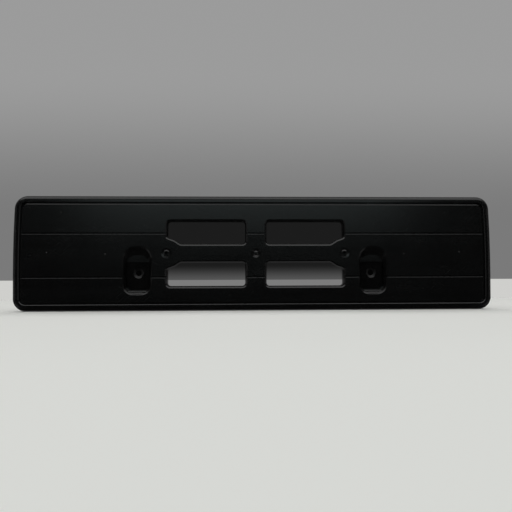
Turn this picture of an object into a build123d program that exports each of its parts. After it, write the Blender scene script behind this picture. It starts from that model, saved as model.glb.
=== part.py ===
from build123d import *

import os
from math import cos, radians, sin, tan

# Number plate holder: one black plastic moulding that screws to a car's front bumper and carries the plate.
# Millimetres. X runs along the plate, Z is up, and the plate side faces -Y. The bumper side lies on Y = 0.
# A height is measured from the bumper side towards the plate, so a height h lies at Y = -h.
# A depth is measured from the seat's face back towards the bumper.

# Plate seat, for a plate of 520 x 110 to 112
seat_length = 520.0
seat_height = 113.0
seat_corner_radius = 7.0
end_bow = 1.0
seat_face_height = 11.0

# Raised rim round the seat
rim_rise = 1.2
rim_outer_radius = 5.0
rim_crest_width = 1.9
rim_inner_chamfer = 0.6

# Grooves: one at the foot of the rim, with a shallow slope to it, and two across the seat, with a soft lip
groove_lip = 0.8
groove_wall = 0.3
foot_groove_width = 1.0
foot_slope_run = 1.4
foot_slope_drop = 0.6
cross_groove_width = 1.6
upper_groove_below_seat_top = 34.3
lower_groove_above_seat_foot = 30.2

# The part above the upper groove leans back a little
upper_lean = 1.2

# Shell on the bumper side
skin = 2.6
flange_wall = 2.4
inner_wall = 2.0
rib_wall = 1.6
rib_setback = 2.0
rib_pitch = 30.0

# Four windows, one in each quarter, with a corner cut off beside the boss
window_inner_x = 12.0
window_outer_x = 98.4
window_near_z = 10.6
window_below_seat_top = 21.1
window_above_seat_foot = 20.0
window_cut_start_x = 83.6
window_cut_knee_x = 90.3
window_cut_knee_z = 15.0
window_cut_end_z = 17.9
window_corner_radius = 3.4
window_cut_radius = 5.0
window_cut_end_radius = 2.4
window_edge_bevel = 1.0
window_draft_run = 1.5
window_draft_depth = 4.0
window_wall_setback = 1.0

# Two screw pockets, with a ledge and a deeper well
screw_spacing = 263.0
pocket_width = 30.5
pocket_height = 52.3
pocket_above_seat_foot = 10.9
pocket_top_flat = 4.5
pocket_foot_flat = 8.5
pocket_lip = 1.0
pocket_side_draft = 1.9
ceiling_run = 8.7
ledge_run = 8.0
ledge_step = 2.6
ledge_tilt = 3.5
ledge_top_flat = 3.7
well_foot_radius = 7.0
well_floor_thickness = 2.2
well_foot_run = 4.7
foot_step_run = 3.8
foot_step_depth = 2.0
foot_step_radius = 1.2

# Bumper screw holes in the wells
screw_above_pocket_foot = 23.6
screw_hole_diameter = 6.5
countersink_diameter = 11.5
countersink_depth = 1.3

# Gate dimple in the middle
gate_diameter = 10.4
gate_depth = 1.1
gate_stub_diameter = 5.0
gate_stub_top_diameter = 2.6
gate_stub_rise = 0.7

# Boss at each end of the windows: a shallow dish, a collar and a pilot hole for a plate screw
boss_beyond_window = 1.1
boss_diameter = 14.0
boss_setback = 3.0
dish_diameter = 11.6
dish_depth = 0.6
collar_diameter = 7.0
collar_top_diameter = 5.2
collar_rise = 0.5
boss_pilot_diameter = 3.0
boss_pilot_depth = 5.0

# Pilot marks for drilling plate screws: two near the mid line, one on the upper groove and one near the top
pilot_diameter = 2.4
pilot_depth = 1.0
mid_marks_from_end = [93.5, 30.0]
mid_marks_z = [0.0, 1.7]
groove_mark_from_end = 12.0
top_mark_from_end = 45.3
top_mark_below_seat_top = 10.5

# Derived sizes
rim_width = rim_outer_radius + rim_crest_width + rim_inner_chamfer
rim_height = seat_face_height + rim_rise
groove_depth = groove_lip + groove_wall
seat_top_z = seat_height / 2
seat_foot_z = -seat_height / 2
upper_groove_z = seat_top_z - upper_groove_below_seat_top
lower_groove_z = seat_foot_z + lower_groove_above_seat_foot
boss_x = window_outer_x + boss_beyond_window
pocket_x = screw_spacing / 2
pocket_foot_z = seat_foot_z + pocket_above_seat_foot
pocket_top_z = pocket_foot_z + pocket_height
ledge_top_z = pocket_top_z - ceiling_run
ledge_foot_z = ledge_top_z - ledge_run
ledge_width = pocket_width - 2 * pocket_side_draft
step_z = pocket_foot_z + foot_step_run
well_depth = seat_face_height - well_floor_thickness
ledge_depth = well_depth - ledge_step
screw_z = pocket_foot_z + screw_above_pocket_foot
cavity_height = seat_face_height - skin


def at_height(height):
    """Sketch plane parallel to the seat, facing the plate."""
    return Plane.XZ.offset(height)


def prism(outline, low, high):
    """An outline drawn in X and Z, made solid between two heights."""
    return extrude(at_height(low) * outline, high - low)


def bar(x0, x1, z0, z1, low, high):
    """A straight block between two heights."""
    centre = Location((x0 / 2 + x1 / 2, -low / 2 - high / 2, z0 / 2 + z1 / 2))
    return centre * Box(x1 - x0, high - low, z1 - z0)


def seat_outline(grow):
    """The seat's outline grown outwards: bowed ends and round corners."""
    half_x = seat_length / 2 - end_bow + grow
    half_z = seat_height / 2 + grow
    edges = [
        Line((-half_x, half_z), (half_x, half_z)),
        ThreePointArc((half_x, half_z), (half_x + end_bow, 0), (half_x, -half_z)),
        Line((half_x, -half_z), (-half_x, -half_z)),
        ThreePointArc((-half_x, -half_z), (-half_x - end_bow, 0), (-half_x, half_z)),
    ]
    face = make_face(edges)
    return fillet(face.vertices(), seat_corner_radius + grow)


def both_ends(shape):
    """A shape and its mirror image at the other end of the seat."""
    return shape + mirror(shape, about=Plane.YZ)


def window_outline(far_z, grow):
    """One window throat, right of the middle and above it, grown outwards by a wall."""
    corners = [
        (window_inner_x, window_near_z),
        (window_cut_start_x, window_near_z),
        (window_cut_knee_x, window_cut_knee_z),
        (window_outer_x, window_cut_end_z),
        (window_outer_x, far_z),
        (window_inner_x, far_z),
    ]
    corner = window_corner_radius
    cut = window_cut_radius
    radii = [corner, cut, cut, window_cut_end_radius, corner, corner]
    throat = make_face(FilletPolyline(*corners, radius=radii, close=True))
    if grow:
        throat = offset(throat, grow)
    return throat


def window_outlines(grow):
    """The four window throats, each grown outwards by a wall."""
    upper = both_ends(window_outline(seat_top_z - window_below_seat_top, grow))
    lower = both_ends(window_outline(-seat_foot_z - window_above_seat_foot, grow))
    return upper + mirror(lower, about=Plane.XZ)


def arch(width, foot, top, foot_radius, top_radius):
    """A pocket outline: straight sides with a rounder top than foot."""
    half = width / 2
    corners = [(-half, foot), (half, foot), (half, top), (-half, top)]
    radii = [foot_radius, foot_radius, top_radius, top_radius]
    return make_face(FilletPolyline(*corners, radius=radii, close=True))


def pocket_mouth(grow):
    """The outline of one pocket at the seat's face, grown outwards."""
    return arch(
        pocket_width + 2 * grow,
        pocket_foot_z - grow,
        pocket_top_z + grow,
        (pocket_width - pocket_foot_flat) / 2 + grow,
        (pocket_width - pocket_top_flat) / 2 + grow,
    )


def pocket():
    """The hollow of one pocket, centred on X = 0: a bevelled lip, a funnel to the ledge and a well."""
    ledge_top_radius = (ledge_width - ledge_top_flat) / 2
    ledge_outline = arch(ledge_width, step_z - ledge_top_z, 0, well_foot_radius, ledge_top_radius)
    tilt = radians(ledge_tilt)
    ledge_plane = Plane(
        origin=(0, ledge_depth - seat_face_height, ledge_top_z),
        x_dir=(1, 0, 0),
        z_dir=(0, -cos(tilt), sin(tilt)),
    )
    funnel = loft([at_height(seat_face_height) * pocket_mouth(0), ledge_plane * ledge_outline], ruled=True)

    above_well = Pos(0, pocket_height - ledge_run) * Rectangle(2 * pocket_height, 2 * pocket_height)
    well = extrude(ledge_plane * (ledge_outline - above_well), seat_face_height, dir=(0, 1, 0))
    well -= bar(
        -pocket_width, pocket_width, seat_foot_z, seat_top_z, -seat_face_height, well_floor_thickness
    )

    step_y = foot_step_depth - seat_face_height
    floor_y = -well_floor_thickness
    below_z = step_z - pocket_height
    step_corners = [
        (step_y, step_z),
        (floor_y, pocket_foot_z + well_foot_run),
        (floor_y, below_z),
        (step_y, below_z),
    ]
    step_face = make_face(Polyline(*step_corners, close=True))
    step_edge = step_face.vertices().sort_by_distance((step_y, step_z))[0]
    step_face = fillet(step_edge, foot_step_radius)
    step = extrude(Plane.YZ * step_face, pocket_width, both=True)

    collar = prism(pocket_mouth(2 * pocket_lip), seat_face_height, rim_height)
    hollow = funnel + well - step + collar
    at_seat = [face for face in hollow.faces() if abs(face.center().Y + seat_face_height) < 0.001]
    underside = max(at_seat, key=lambda face: face.area)
    return chamfer(underside.inner_wires()[0].edges(), pocket_lip)


def cup():
    """The wall behind one pocket, centred on X = 0, down to the bumper."""
    ledge_y = ledge_depth + inner_wall - seat_face_height
    step_y = foot_step_depth + inner_wall - seat_face_height
    foot_z = pocket_foot_z - inner_wall
    profile = Polyline(
        (-cavity_height, pocket_top_z + inner_wall),
        (ledge_y, ledge_top_z + inner_wall),
        (ledge_y, ledge_foot_z + inner_wall),
        (0, ledge_foot_z + inner_wall),
        (0, pocket_foot_z + well_foot_run - inner_wall),
        (step_y, step_z - inner_wall),
        (step_y, foot_z),
        (-cavity_height, foot_z),
        close=True,
    )
    behind = extrude(Plane.YZ * make_face(profile), pocket_width, both=True)
    return prism(pocket_mouth(inner_wall), 0, cavity_height) & behind


def cross_groove(z):
    """A groove across the whole seat, with a round lower lip."""
    top = z + cross_groove_width / 2
    wall = z - cross_groove_width / 2
    face = -seat_face_height
    floor = face + groove_depth
    lip = face + groove_lip
    foot = wall - groove_lip
    half_turn = groove_lip * cos(radians(45))
    section = [
        Line((face, foot), (face, top)),
        Line((face, top), (floor, top)),
        Line((floor, top), (floor, wall)),
        Line((floor, wall), (lip, wall)),
        ThreePointArc((lip, wall), (lip - half_turn, foot + half_turn), (face, foot)),
    ]
    return extrude(Plane.YZ * make_face(section), seat_length, both=True)


def cone(x, z, height, back_diameter, front_diameter, depth):
    """A cone with its front end at a height, and its back end deeper towards the bumper."""
    front = Location((x, -height, z), (90, 0, 0))
    to_front = (Align.CENTER, Align.CENTER, Align.MAX)
    return front * Cone(back_diameter / 2, front_diameter / 2, depth, align=to_front)


# Block with the rim's round outer edge
body = prism(seat_outline(rim_width), 0, rim_height)
body = fillet(body.edges().group_by(Axis.Y)[0], rim_outer_radius)

# Seat sunk inside the rim, with a groove at the rim's foot left round a pad
groove_floor = seat_face_height - groove_depth
body -= prism(seat_outline(0), groove_floor, rim_height)
crest = body.faces().sort_by(Axis.Y)[0]
body = chamfer(crest.inner_wires()[0].edges(), rim_inner_chamfer)
pad = prism(seat_outline(-foot_groove_width), cavity_height, seat_face_height)
pad_face = pad.faces().sort_by(Axis.Y)[0]
pad = chamfer(pad_face.edges(), foot_slope_run, foot_slope_drop, reference=pad_face)
body += pad


def seat_face():
    """The flat of the seat as it stands."""
    at_seat = [f for f in body.faces() if abs(f.center().Y + seat_face_height) < 0.001]
    return max(at_seat, key=lambda f: f.area)


def seat_openings():
    """The edges round the openings in the flat of the seat, as it stands."""
    return [edge for wire in seat_face().inner_wires() for edge in wire.edges()]


# Windows, drafted towards the plate side, with a bevelled edge
body -= prism(window_outlines(0), 0, rim_height)
body = chamfer(seat_openings(), window_draft_run, window_draft_depth, reference=seat_face())
body = chamfer(seat_openings(), window_edge_bevel)

# Screw pockets
body -= both_ends(Pos(pocket_x, 0, 0) * pocket())

# Hollow on the bumper side, round the window walls, the pockets' cups, the bosses and the ribs
kept = prism(window_outlines(inner_wall), window_wall_setback, cavity_height)
kept += both_ends(Pos(pocket_x, 0, 0) * cup())
kept += both_ends(prism(Pos(boss_x, 0) * Circle(boss_diameter / 2), boss_setback, cavity_height))
for rib_z in (upper_groove_z, lower_groove_z):
    rib_low, rib_high = rib_z - rib_wall / 2, rib_z + rib_wall / 2
    kept += bar(-seat_length, seat_length, rib_low, rib_high, rib_setback, cavity_height)
first_end_rib = pocket_x + pocket_width / 2
end_rib_count = int((seat_length / 2 - first_end_rib) / rib_pitch)
end_ribs = [first_end_rib + rib_pitch * (i + 0.5) for i in range(end_rib_count)]
for rib_x in [(window_inner_x + window_outer_x) / 2] + end_ribs:
    rib = bar(rib_x - rib_wall / 2, rib_x + rib_wall / 2, -seat_height, seat_height, rib_setback, cavity_height)
    kept += both_ends(rib)
kept += bar(-rib_wall / 2, rib_wall / 2, -seat_height, seat_height, rib_setback, cavity_height)
body -= prism(seat_outline(rim_width - flange_wall), 0, cavity_height) - kept

# Gate dimple with the stub of the sprue in it
dimple = cone(0, 0, seat_face_height, gate_stub_diameter, gate_diameter, gate_depth)
stub_height = seat_face_height - gate_depth + gate_stub_rise
body -= dimple - cone(0, 0, stub_height, gate_stub_diameter, gate_stub_top_diameter, gate_stub_rise)

# Boss dishes with their collars and pilot holes, and the pilot marks near the ends
dish = cone(boss_x, 0, seat_face_height, collar_diameter, dish_diameter, dish_depth)
collar_height = seat_face_height - dish_depth + collar_rise
dish -= cone(boss_x, 0, collar_height, collar_diameter, collar_top_diameter, collar_rise)
boss_pilot = prism(
    Pos(boss_x, 0) * Circle(boss_pilot_diameter / 2), seat_face_height - boss_pilot_depth, seat_face_height
)
body -= both_ends(dish + boss_pilot)
marks_from_end = mid_marks_from_end + [groove_mark_from_end, top_mark_from_end]
marks_z = mid_marks_z + [upper_groove_z, seat_top_z - top_mark_below_seat_top]
for from_end, mark_z in zip(marks_from_end, marks_z):
    body -= both_ends(cone(seat_length / 2 - from_end, mark_z, seat_face_height, 0, pilot_diameter, pilot_depth))

# The part above the upper groove leans back from there, and its bumper side is trimmed level
above_groove = bar(-seat_length, seat_length, upper_groove_z, seat_height, 0, rim_height)
slope = tan(radians(upper_lean))
lean = Matrix([[1, 0, 0, 0], [0, 1, slope, -slope * upper_groove_z], [0, 0, 1, 0], [0, 0, 0, 1]])
upper_part = (body & above_groove).transform_geometry(lean)
body = body - above_groove + upper_part
body -= bar(-seat_length, seat_length, -seat_height, seat_height, -seat_face_height, 0)

# Grooves across the seat, stopped at the rim
seat_space = prism(seat_outline(0), 0, rim_height)
for groove_z in (upper_groove_z, lower_groove_z):
    body -= cross_groove(groove_z) & seat_space

# Screw holes, countersunk on the plate side
screw_hole = prism(Pos(pocket_x, screw_z) * Circle(screw_hole_diameter / 2), 0, well_floor_thickness)
countersink = cone(
    pocket_x, screw_z, well_floor_thickness, screw_hole_diameter, countersink_diameter, countersink_depth
)
body -= both_ends(screw_hole + countersink)

# The origin lies midway between the two screw holes, on the bumper side
plate_holder = Pos(0, 0, -screw_z) * body

os.makedirs("parts", exist_ok=True)
export_step(plate_holder, "parts/plate_holder.step")
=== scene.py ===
from math import pi, radians

import bpy
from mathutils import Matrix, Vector


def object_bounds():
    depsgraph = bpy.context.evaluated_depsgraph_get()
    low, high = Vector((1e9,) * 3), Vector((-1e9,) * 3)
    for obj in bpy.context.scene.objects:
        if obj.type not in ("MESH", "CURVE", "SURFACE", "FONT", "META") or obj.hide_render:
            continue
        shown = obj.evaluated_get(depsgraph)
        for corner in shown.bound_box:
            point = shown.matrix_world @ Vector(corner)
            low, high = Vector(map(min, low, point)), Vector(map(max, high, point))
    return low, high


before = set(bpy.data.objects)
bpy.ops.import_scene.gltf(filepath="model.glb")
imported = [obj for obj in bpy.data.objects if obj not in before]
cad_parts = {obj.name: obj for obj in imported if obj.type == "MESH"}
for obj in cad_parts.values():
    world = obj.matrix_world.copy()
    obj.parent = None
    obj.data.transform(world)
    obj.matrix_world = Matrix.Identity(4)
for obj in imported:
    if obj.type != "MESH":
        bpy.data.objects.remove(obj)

cad_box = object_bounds()

# Moulding
# The holder is one injection moulding in black plastic, with nothing fixed to it.
# The plate side has a fine satin grain, and the bumper side is left duller.
# Hands rub the rim, screws scuff their countersinks, and dust settles on what faces up.
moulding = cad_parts["plate_holder"]


class Socket:
    """An output socket of a node tree, or the bare tree. Arithmetic on it adds Math nodes."""

    def __init__(self, tree, source=None):
        self.tree = tree
        self.source = source

    def node(self, kind, settings=None, sockets=None):
        """Adds a node: its settings first, then the values or links of its sockets."""
        made = self.tree.nodes.new(kind)
        for name, value in (settings or {}).items():
            setattr(made, name, value)
        for name, value in (sockets or {}).items():
            if isinstance(value, Socket):
                self.tree.links.new(value.source, made.inputs[name])
            else:
                made.inputs[name].default_value = value
        return Socket(self.tree, next(iter(made.outputs), None))

    def output(self, name):
        """Another output of the same node."""
        return Socket(self.tree, self.source.node.outputs[name])

    def math(self, operation, first, second):
        """A Math node on two values."""
        return self.node("ShaderNodeMath", {"operation": operation}, {0: first, 1: second})

    def __add__(self, other):
        return self.math("ADD", self, other)

    def __radd__(self, other):
        return self.math("ADD", other, self)

    def __sub__(self, other):
        return self.math("SUBTRACT", self, other)

    def __rsub__(self, other):
        return self.math("SUBTRACT", other, self)

    def __mul__(self, other):
        return self.math("MULTIPLY", self, other)

    def __rmul__(self, other):
        return self.math("MULTIPLY", other, self)

    def rise(self, low, high):
        """0 up to low, 1 from high, and a soft passage between."""
        limits = {"Value": self, "From Min": low, "From Max": high}
        return self.node("ShaderNodeMapRange", {"interpolation_type": "SMOOTHSTEP"}, limits)

    def noise(self, scale, detail):
        """Cloudy noise read at this vector."""
        return self.node("ShaderNodeTexNoise", None, {"Vector": self, "Scale": scale, "Detail": detail})

    def turned(self, degrees, stretch):
        """This vector turned about Y, then stretched."""
        turn = (0, radians(degrees), 0)
        turned = self.node("ShaderNodeMapping", None, {"Vector": self, "Rotation": turn})
        return self.node("ShaderNodeMapping", None, {"Vector": turned, "Scale": stretch})

    def tint(self, amount, base, over):
        """The base colour with another colour laid over it by an amount."""
        # For colours, Mix has its factor at 0, its two colours at 6 and 7, and its result at 2
        mix = self.node("ShaderNodeMix", {"data_type": "RGBA"}, {0: amount, 6: base, 7: over})
        return mix.output(2)


satin_black = bpy.data.materials.new("satin_black_plastic")
satin_black.use_nodes = True
satin_black.node_tree.nodes.clear()
plastic = Socket(satin_black.node_tree)

place = plastic.node("ShaderNodeTexCoord").output("Object")
place_mm = plastic.node("ShaderNodeVectorMath", {"operation": "SCALE"}, {0: place, "Scale": 1000.0})
y_mm = plastic.node("ShaderNodeSeparateXYZ", None, {0: place_mm}).output("Y")
surface_normal = plastic.node("ShaderNodeNewGeometry").output("Normal")
facing = plastic.node("ShaderNodeSeparateXYZ", None, {0: surface_normal})

# Heights are taken from the bumper side at Y = 0, and the plate lies towards -Y.
# The rim stands proud of the seat, so it is rubbed. The floors of the pockets are out of reach
# and keep the mould's polish, but a screw head has scuffed the hole in each well.
seat_height_mm = 11.0
well_floor_mm = 2.2
plate_side = (-1 * facing.output("Y")).rise(0.5, 0.9)
bumper_side = facing.output("Y").rise(0.2, 0.8)
rim = (-1 * y_mm).rise(seat_height_mm + 0.2, seat_height_mm + 0.8)
recess = y_mm.rise(1.8 - seat_height_mm, 2.6 - seat_height_mm) * plate_side
screw_scuffs = y_mm.rise(0.05 - well_floor_mm, 0.25 - well_floor_mm) * (1 - bumper_side)

# Streaks along the flow of the plastic, and slow clouds in the grain
streaks = place_mm.turned(0, (0.006, 0.05, 0.16)).noise(1.0, 3.0)
clouds = place_mm.noise(0.035, 3.0)

# Hairlines from handling, in two directions, only where a slow noise lets them through
worn_patches = place_mm.turned(20, (1, 1, 1)).noise(0.02, 1.0).rise(0.5, 0.68)
hairlines_up = place_mm.turned(38, (0.05, 0.3, 2.6)).noise(1.0, 2.0).rise(0.66, 0.72)
hairlines_down = place_mm.turned(-24, (0.04, 0.3, 2.2)).noise(1.0, 2.0).rise(0.67, 0.73)
hairlines = (hairlines_up + hairlines_down) * worn_patches

# Dust: a film on what faces up, and single specks
dust_film = facing.output("Z").rise(0.35, 0.95) * place_mm.noise(0.4, 4.0).rise(0.35, 0.75)
cells = plastic.node("ShaderNodeTexVoronoi", None, {
    "Vector": place_mm,
    "Scale": 0.07,
    "Randomness": 1.0,
})
cell_colour = plastic.node("ShaderNodeSeparateColor", None, {0: cells.output("Color")})
chosen_cells = cell_colour.output("Red").rise(0.72, 0.74)
speck = (1 - cells.output("Distance").rise(0.01, 0.028)) * chosen_cells

black = (0.0024, 0.0024, 0.0025, 1)
streak_black = (0.0030, 0.0030, 0.0031, 1)
rubbed_black = (0.0040, 0.0040, 0.0042, 1)
dull_black = (0.020, 0.020, 0.021, 1)
dust_grey = (0.060, 0.058, 0.054, 1)
colour = plastic.tint(streaks.rise(0.3, 0.8), black, streak_black)
colour = plastic.tint(rim * clouds.rise(0.35, 0.65), colour, rubbed_black)
colour = plastic.tint(bumper_side, colour, dull_black)
colour = plastic.tint(hairlines * 0.10, colour, dust_grey)
colour = plastic.tint(dust_film * 0.15, colour, dust_grey)
colour = plastic.tint(speck * 0.6, colour, dust_grey)

satin_roughness = 0.25
roughness = satin_roughness + 0.10 * (clouds - 0.5) + 0.06 * (streaks - 0.5)
roughness = roughness - 0.05 * rim - 0.12 * recess + 0.15 * bumper_side + 0.35 * screw_scuffs
roughness = roughness + 0.05 * hairlines + 0.15 * dust_film + 0.2 * speck

grain_depth = 0.00005
grain = plastic.node("ShaderNodeBump", None, {
    "Strength": 0.12,
    "Distance": grain_depth,
    "Height": place_mm.noise(1.6, 3.0),
})
shader = plastic.node("ShaderNodeBsdfPrincipled", None, {
    "Base Color": colour,
    "Roughness": roughness,
    "Normal": grain,
})
plastic.node("ShaderNodeOutputMaterial", None, {"Surface": shader})

for material_slot in moulding.material_slots:
    material_slot.link = "OBJECT"
    material_slot.material = satin_black

# Floor
# A plain sheet of pale paper, level with the holder's lower edge.
# It is left out of reflections: the holder in the photograph leans back,
# so its face mirrors the dim room and not what it stands on.
floor_size = 5.0
floor_z = cad_box[0][2]
bpy.ops.object.select_all(action="DESELECT")
bpy.ops.mesh.primitive_plane_add(size=floor_size, location=(0, 0, floor_z))
floor = bpy.context.object
floor.name = "floor"
floor.visible_glossy = False
pale_paper = bpy.data.materials.new("pale_paper")
pale_paper.use_nodes = True
pale_paper.node_tree.nodes.clear()
paper = Socket(pale_paper.node_tree)
paper_white = (0.88, 0.885, 0.85, 1)
paper_shader = paper.node("ShaderNodeBsdfDiffuse", None, {"Color": paper_white})
paper.node("ShaderNodeOutputMaterial", None, {"Surface": paper_shader})
floor.data.materials.append(pale_paper)

# Backdrop
# A plain sheet hung close behind the holder. It glows with painted greys, so its light and shade are
# painted:
# darker towards the bottom, a painted shade where the holder shades it, and pale along its foot, like
# the floor below.
# It shows these greys to the camera and in reflections, from the front only, and light and views from
# behind pass it.
backdrop_y = 0.015
backdrop_foot_z = -0.030
backdrop_size = 3.0
bpy.ops.mesh.primitive_plane_add(
    size=backdrop_size,
    location=(0, backdrop_y, backdrop_foot_z + backdrop_size / 2),
    rotation=(radians(90), 0, 0),
)
backdrop = bpy.context.object
backdrop.name = "backdrop"
backdrop.visible_diffuse = False
backdrop.visible_shadow = False
painted_sheet = bpy.data.materials.new("painted_sheet")
painted_sheet.use_nodes = True
painted_sheet.node_tree.nodes.clear()
sheet = Socket(painted_sheet.node_tree)
sheet_place = sheet.node("ShaderNodeNewGeometry")
sheet_xyz = sheet.node("ShaderNodeSeparateXYZ", None, {0: sheet_place.output("Position")})
sheet_z = sheet_xyz.output("Z")
from_middle = sheet.math("ABSOLUTE", sheet_xyz.output("X"), 0)

# Painted shade lies behind the holder. Painted light lightens it behind the lower windows, and behind
# the screw holes beyond the windows it is near black
half_length = cad_box[1][0]
top_z = cad_box[1][2]
beyond_ends = from_middle.rise(half_length - 0.030, half_length - 0.005)
beyond_windows = from_middle.rise(0.100, 0.106)
shade = (1 - beyond_ends) * (1 - sheet_z.rise(top_z - 0.025, top_z - 0.004))
lower_windows = (1 - sheet_z.rise(-0.012, 0.010)) * (1 - beyond_windows)
foot = 1 - sheet_z.rise(-0.0081, -0.0075)


def grey(level):
    """A plain grey as a colour."""
    return (level, level, level, 1)


upper_grey = grey(0.33)
pale_foot = (0.62, 0.62, 0.60, 1)
# Where the holder casts no shade, the sheet is painted darker towards the bottom
open_greys = sheet.tint(sheet_z.rise(0.06, 0.24), grey(0.195), upper_grey)
# Painted shade: dim behind the upper windows, near black beyond them, lighter behind the lower windows
shade_greys = sheet.tint(beyond_windows, grey(0.0117), grey(0.001))
shade_greys = sheet.tint(lower_windows, shade_greys, grey(0.10))
# Along the foot: a painted shaded floor behind the holder, and a pale floor beyond its ends
foot_greys = sheet.tint(beyond_ends, grey(0.20), pale_foot)
sheet_greys = sheet.tint(shade, open_greys, shade_greys)
sheet_greys = sheet.tint(foot, sheet_greys, foot_greys)
# The sheet glows with its painted greys, a painted light and shade, instead of being lit
sheet_front = sheet.node("ShaderNodeEmission", None, {"Color": sheet_greys})
sheet_back = sheet.node("ShaderNodeBsdfTransparent")
sheet_shader = sheet.node("ShaderNodeMixShader", None, {
    0: sheet_place.output("Backfacing"),
    1: sheet_front,
    2: sheet_back,
})
sheet.node("ShaderNodeOutputMaterial", None, {"Surface": sheet_shader})
backdrop.data.materials.append(painted_sheet)

# Light
# A soft box over the camera shines in the top of the seat, a wide light overhead picks out
# what faces up, a light behind shows the bumper side, and a strip at each end lines the rim.
# The room is plain grey to the camera, but in front of the holder it is dim in reflections.
world = bpy.data.worlds.new("studio")
world.use_nodes = True
world.node_tree.nodes.clear()
bpy.context.scene.world = world
room = Socket(world.node_tree)
direction = room.node("ShaderNodeTexCoord").output("Generated")
towards = room.node("ShaderNodeSeparateXYZ", None, {0: direction})
upward = towards.output("Z")
downward = -1 * upward
frontward = -1 * towards.output("Y")
sideways = room.math("ABSOLUTE", towards.output("X"), 0)
room_greys = room.tint(upward.rise(0.3, 0.9), grey(0.016), grey(0.18))
low_front = downward.rise(0.2, 0.4) * frontward.rise(-0.2, 0.3)
low_sides = sideways.rise(0.45, 0.60) * (1 - downward.rise(0.40, 0.55))
low_greys = room.tint(low_sides, grey(0.02), grey(0.40))
room_greys = room.tint(low_front, room_greys, low_greys)

# Plain grey all round for the camera, and behind the holder for reflections
rays = room.node("ShaderNodeLightPath")
in_gloss = room.math("MAXIMUM", rays.output("Is Glossy Ray"), rays.output("Is Transmission Ray"))
gloss_behind = in_gloss * towards.output("Y").rise(0.1, 0.4)
sees_grey = room.math("MAXIMUM", rays.output("Is Camera Ray"), gloss_behind)
room_greys = room.tint(sees_grey, room_greys, upper_grey)
room_light = room.node("ShaderNodeBackground", None, {"Color": room_greys})
room.node("ShaderNodeOutputWorld", None, {"Surface": room_light})


def soft_light(name, radiance, light_colour, width, height, position, aim):
    """A rectangular area light of a given radiance and colour, turned to a point."""
    bpy.ops.object.light_add(type="AREA", location=position)
    lamp = bpy.context.object
    lamp.name = name
    lamp.data.shape = "RECTANGLE"
    lamp.data.size = width
    lamp.data.size_y = height
    lamp.data.color = light_colour
    lamp.data.energy = radiance * pi * width * height
    lamp.rotation_euler = (Vector(aim) - Vector(position)).to_track_quat("-Z", "Y").to_euler()
    return lamp


holder_middle = (0, -0.011, 0.022)
white = (1.0, 1.0, 1.0)
cool_white = (0.85, 1.0, 1.0)
soft_light("softbox", 0.75, cool_white, 1.35, 0.40, (0.01, -1.52, 0.54), holder_middle)
soft_light("overhead", 1.15, white, 4.0, 3.0, (0, -0.3, 1.75), (0, -0.3, 0))
soft_light("behind", 1.1, white, 2.4, 0.35, (0, 2.0, 0.92), holder_middle)

# The strips show in the gloss only, so that they leave no streak on the floor
for end, strip_x in (("left", -1.35), ("right", 1.35)):
    strip_place = (strip_x, -0.68, 0.05)
    strip = soft_light("strip_" + end, 0.45, white, 0.30, 0.60, strip_place, holder_middle)
    strip.visible_diffuse = False

# Camera
# The photograph's viewing angle: square on and a little below the middle of the seat,
# a little left of centre, with its field of view fitted to the seat's proportions.
camera_aim = Vector((0, -0.011, 0.0186))
camera_roll = -0.22
bpy.ops.object.camera_add(location=(-0.0226, -0.582, -0.010))
camera = bpy.context.object
camera.name = "camera"
camera.data.sensor_width = 36
camera.data.lens = 36.07
camera.data.clip_start = 0.01
camera.rotation_euler = (camera_aim - camera.location).to_track_quat("-Z", "Y").to_euler()
camera.rotation_euler.rotate_axis("Z", radians(camera_roll))
bpy.context.scene.camera = camera
bpy.context.scene.view_settings.view_transform = "Standard"
